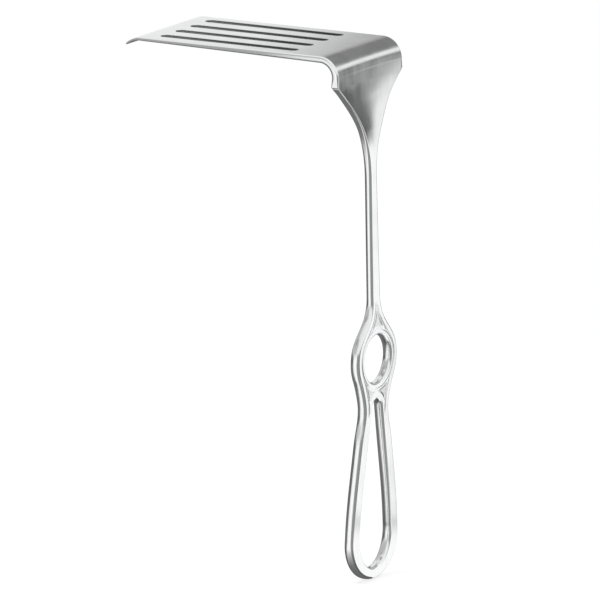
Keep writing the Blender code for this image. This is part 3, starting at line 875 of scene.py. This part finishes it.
def steel(name, lengthwise, polish=POLISHED, hole_shade=0.0):
    """Polished stainless steel: grain along the piece, matt webs, worn edges, and painted shade darkening the
    hole walls.
    """
    material = bpy.data.materials.new(name)
    wiring = Wiring(material)
    shader = wiring.nodes["Principled BSDF"]
    shader.inputs["Metallic"].default_value = 1.0
    place = wiring.attribute("flat", "Vector")
    satin = wiring.attribute("satin", "Fac")
    worn = wiring.attribute("worn", "Fac")

    def stretched(length, width):
        return [length if axis == lengthwise else width for axis in range(3)]

    streak = wiring.noise(place, stretched(STREAK_LENGTH, STREAK_WIDTH), detail=2)
    grain = wiring.noise(place, stretched(GRAIN_LENGTH, GRAIN_WIDTH), detail=3)
    scratch = wiring.noise(place, stretched(SCRATCH_LENGTH, SCRATCH_WIDTH), detail=1)
    cloud = wiring.noise(place, [CLOUD_SIZE] * 3, detail=2)
    bead = wiring.noise(place, [BEAD_SIZE] * 3, detail=2)

    finish = wiring.math("ADD", polish, wiring.spread(grain, NOISE_RANGE, GRAIN_ROUGHNESS))
    finish = wiring.math("ADD", finish, wiring.spread(cloud, NOISE_RANGE, CLOUD_ROUGHNESS))
    finish = wiring.math("ADD", finish, wiring.spread(scratch, SCRATCH_RANGE, SCRATCH_ROUGHNESS))
    finish = wiring.math("ADD", finish, wiring.spread(satin, SATIN_RANGE, (0, SATIN - polish)))
    finish = wiring.math("SUBTRACT", finish, wiring.spread(worn, WORN_POLISH_RANGE, WORN_POLISH))
    wiring.links.new(finish, shader.inputs["Roughness"])

    tone = wiring.mix(wiring.spread(streak, NOISE_RANGE, STREAK_TONE), STEEL, DULL_STEEL)
    tone = wiring.mix(wiring.spread(worn, WORN_TONE_RANGE, WORN_TONE), tone, WORN_STEEL)
    # Painted shade: the hole walls darken by the share given, so that the blade's slots read as dark lines
    hole_shade_share = wiring.math("MULTIPLY", wiring.attribute("in_hole", "Fac"), hole_shade)
    tone = wiring.mix(hole_shade_share, tone, HOLE_SHADE_STEEL)
    wiring.links.new(tone, shader.inputs["Base Color"])

    height = wiring.math("MULTIPLY", grain, GRAIN_HEIGHT)
    beads = wiring.math("MULTIPLY", wiring.math("MULTIPLY", bead, satin), BEAD_HEIGHT)
    bump = wiring.nodes.new("ShaderNodeBump")
    bump.inputs["Distance"].default_value = 1.0
    wiring.links.new(wiring.math("ADD", height, beads), bump.inputs["Height"])
    wiring.links.new(bump.outputs[0], shader.inputs["Normal"])
    return material


# Studio

def glowing_card(name, corners, faces, levels, cover):
    """A card that only shows in the steel's reflections, with its brightness and cover at each corner."""
    mesh = bpy.data.meshes.new(name)
    mesh.from_pydata(corners, [], faces)
    mesh.attributes.new("level", "FLOAT", "POINT").data.foreach_set("value", levels)
    mesh.attributes.new("cover", "FLOAT", "POINT").data.foreach_set("value", cover)
    material = bpy.data.materials.new(name)
    wiring = Wiring(material)
    wiring.nodes.clear()
    emission = wiring.nodes.new("ShaderNodeEmission")
    wiring.links.new(wiring.attribute("level", "Fac"), emission.inputs["Strength"])
    clear = wiring.nodes.new("ShaderNodeBsdfTransparent")
    mix = wiring.nodes.new("ShaderNodeMixShader")
    wiring.links.new(wiring.attribute("cover", "Fac"), mix.inputs["Fac"])
    wiring.links.new(clear.outputs[0], mix.inputs[1])
    wiring.links.new(emission.outputs[0], mix.inputs[2])
    out = wiring.nodes.new("ShaderNodeOutputMaterial")
    wiring.links.new(mix.outputs[0], out.inputs["Surface"])
    mesh.materials.append(material)
    board = bpy.data.objects.new(name, mesh)
    bpy.context.scene.collection.objects.link(board)
    board.visible_camera = False
    board.visible_diffuse = False
    board.visible_shadow = False
    board.visible_transmission = False


def towards(azimuth, elevation):
    """The direction at an azimuth from +Y towards +X and an elevation, both in degrees."""
    a, e = math.radians(azimuth), math.radians(elevation)
    return Vector((math.sin(a) * math.cos(e), math.cos(a) * math.cos(e), math.sin(e)))


def soft_share(value, limits, fade):
    """1 between the limits and 0 outside, with each edge eased over the fade."""
    low, high = limits
    return float(eased((value - low) / fade + 0.5) * eased((high - value) / fade + 0.5))


def turned_share(azimuth, limits, fade):
    """The same for azimuths, which may run on past half a turn."""
    low, high = limits
    if high - low >= 360:
        return 1.0
    middle = (low + high) / 2
    return soft_share((azimuth - middle + 180) % 360 - 180, (low - middle, high - middle), fade)


def woven(rows, width, closed):
    """Faces between rows of corners, each row closed into a ring or left open."""
    return [
        (i + j * width, (i + 1) % width + j * width, (i + 1) % width + (j + 1) * width, i + (j + 1) * width)
        for j in range(rows - 1) for i in range(width if closed else width - 1)
    ]


def dome():
    """The panels around and above the object, on one dome that reaches down to the floor."""
    around = range(-180, 180, DOME_STEP)
    floor_edge = math.degrees(math.asin((HANDLE_BOTTOM - STUDIO_CENTRE.z) / DOME_RADIUS))
    upward = stations(floor_edge, DOME_TOP, DOME_STEP)
    corners, levels = [], []
    for elevation in upward:
        for azimuth in around:
            level = DOME_LEVEL
            for _, azimuths, elevations, brightness, fade in DOME_PANELS:
                share = turned_share(azimuth, azimuths, fade) * soft_share(elevation, elevations, fade)
                level += (brightness - level) * share
            corners.append(STUDIO_CENTRE + towards(azimuth, elevation) * DOME_RADIUS)
            levels.append(level)
    glowing_card("dome", corners, woven(len(upward), len(around), True), levels, [1.0] * len(levels))


def floor_card():
    """The panels that lie on the floor around the object, as sectors seen from under its middle."""
    around = range(-180, 180, DOME_STEP)
    radii = stations(CLOSE, DOME_RADIUS, FLOOR_STEP)
    height = HANDLE_BOTTOM - FLOOR_CARD_GAP
    corners, levels = [], []
    for radius in radii:
        for azimuth in around:
            level = FLOOR_LEVEL
            for _, azimuths, distances, brightness, fade in FLOOR_PANELS:
                share = turned_share(azimuth, azimuths, fade) * soft_share(radius, distances, FLOOR_FADE)
                level += (brightness - level) * share
            corners.append(towards(azimuth, 0) * radius + Vector((0, 0, height)))
            levels.append(level)
    glowing_card("floor_card", corners, woven(len(radii), len(around), True), levels, [1.0] * len(levels))


def near_cards():
    """The grey cards beside and behind the blade, and the softbox close behind the handle."""
    for name, azimuth, far, brightness, across, heights, fade, edges in NEAR_CARDS:
        right = towards(azimuth + 90, 0)
        columns = stations(*across, NEAR_CARD_STEP)
        rows = stations(*heights, NEAR_CARD_STEP)
        corners, cover = [], []
        for z in rows:
            for s in columns:
                share = 1.0
                for facing, reach in edges:
                    a = math.radians(facing)
                    beyond = s * math.cos(a) + z * math.sin(a) - reach
                    share *= float(eased(0.5 - beyond / fade))
                corners.append(towards(azimuth, 0) * far + right * s + Vector((0, 0, z)))
                cover.append(share)
        glowing_card(
            name, corners, woven(len(rows), len(columns), False), [brightness] * len(cover), cover
        )


def seen_white(nodes, links, light, white):
    """Mixes two shaders so that camera, glossy and transmission rays see the white one."""
    path = nodes.new("ShaderNodeLightPath")
    first = nodes.new("ShaderNodeMath")
    first.operation = "MAXIMUM"
    links.new(path.outputs["Is Camera Ray"], first.inputs[0])
    links.new(path.outputs["Is Glossy Ray"], first.inputs[1])
    second = nodes.new("ShaderNodeMath")
    second.operation = "MAXIMUM"
    links.new(first.outputs[0], second.inputs[0])
    links.new(path.outputs["Is Transmission Ray"], second.inputs[1])
    mix = nodes.new("ShaderNodeMixShader")
    links.new(second.outputs[0], mix.inputs["Fac"])
    links.new(light.outputs[0], mix.inputs[1])
    links.new(white.outputs[0], mix.inputs[2])
    return mix


def world():
    scene_world = bpy.data.worlds.new("studio")
    bpy.context.scene.world = scene_world
    scene_world.use_nodes = True
    nodes, links = scene_world.node_tree.nodes, scene_world.node_tree.links
    nodes.clear()
    light = nodes.new("ShaderNodeBackground")
    light.inputs["Color"].default_value = (1, 1, 1, 1)
    light.inputs["Strength"].default_value = ROOM_LIGHT
    white = nodes.new("ShaderNodeBackground")
    white.inputs["Color"].default_value = (1, 1, 1, 1)
    white.inputs["Strength"].default_value = 1.0
    out = nodes.new("ShaderNodeOutputWorld")
    links.new(seen_white(nodes, links, light, white).outputs[0], out.inputs["Surface"])


def floor():
    """A pale floor under the loop, white to the eye and in the steel, which keeps the object's shadow."""
    mesh = bpy.data.meshes.new("floor")
    level = HANDLE_BOTTOM - FLOOR_GAP
    mesh.from_pydata(
        [(x * FLOOR_REACH, y * FLOOR_REACH, level) for x, y in ((-1, -1), (1, -1), (1, 1), (-1, 1))],
        [], [(0, 1, 2, 3)],
    )
    material = bpy.data.materials.new("floor")
    material.use_nodes = True
    nodes, links = material.node_tree.nodes, material.node_tree.links
    nodes.clear()
    paint = nodes.new("ShaderNodeBsdfDiffuse")
    paint.inputs["Color"].default_value = (FLOOR_PAINT, FLOOR_PAINT, FLOOR_PAINT, 1)
    white = nodes.new("ShaderNodeEmission")
    white.inputs["Color"].default_value = (1, 1, 1, 1)
    white.inputs["Strength"].default_value = 1.0
    shadowed = nodes.new("ShaderNodeMixShader")
    shadowed.inputs["Fac"].default_value = FLOOR_WHITE
    links.new(paint.outputs[0], shadowed.inputs[1])
    links.new(white.outputs[0], shadowed.inputs[2])
    out = nodes.new("ShaderNodeOutputMaterial")
    links.new(seen_white(nodes, links, paint, shadowed).outputs[0], out.inputs["Surface"])
    mesh.materials.append(material)
    ground = bpy.data.objects.new("floor", mesh)
    bpy.context.scene.collection.objects.link(ground)


def lamp():
    """One large soft lamp overhead, which lights the floor and gives the object its faint shadow."""
    data = bpy.data.lights.new("overhead", "AREA")
    data.shape = "SQUARE"
    data.size = LAMP_SIZE
    data.energy = LAMP_POWER
    light = bpy.data.objects.new("overhead", data)
    light.location = LAMP_PLACE
    light.rotation_mode = "QUATERNION"
    light.rotation_quaternion = Vector(LAMP_PLACE).to_track_quat("Z", "Y")
    light.visible_camera = False
    light.visible_glossy = False
    bpy.context.scene.collection.objects.link(light)


def camera():
    back = Vector((
        math.sin(CAMERA_AZIMUTH) * math.cos(CAMERA_ELEVATION),
        -math.cos(CAMERA_AZIMUTH) * math.cos(CAMERA_ELEVATION),
        math.sin(CAMERA_ELEVATION),
    ))
    right = Vector((math.cos(CAMERA_AZIMUTH), math.sin(CAMERA_AZIMUTH), 0))
    up = back.cross(right)
    data = bpy.data.cameras.new("camera")
    data.type = "ORTHO"
    data.ortho_scale = PICTURE_SIDE
    data.clip_start = CLIP_START
    data.clip_end = CLIP_END
    rig = bpy.data.objects.new("camera", data)
    rig.location = right * AIM_RIGHT + up * AIM_UP + back * CAMERA_DISTANCE
    rig.rotation_mode = "QUATERNION"
    rig.rotation_quaternion = (-back).to_track_quat("-Z", "Y")
    bpy.context.scene.collection.objects.link(rig)
    bpy.context.scene.camera = rig


def main():
    camera()
    world()
    floor()
    lamp()
    dome()
    floor_card()
    near_cards()
    # The blade's slot walls get the full painted shade; the handle's hole walls get none
    blade_steel = steel("blade_steel", STRIP_AXIS, hole_shade=1.0)
    weld_steel = steel("weld_steel", HANDLE_AXIS, WELD_POLISHED)
    handle_steel = steel("handle_steel", HANDLE_AXIS)
    blade_plate(blade_steel)
    plate = handle_plate()
    handle_forging(plate, handle_steel)
    weld_seam(plate, weld_steel)
    bpy.context.scene.view_settings.view_transform = "Standard"


main()
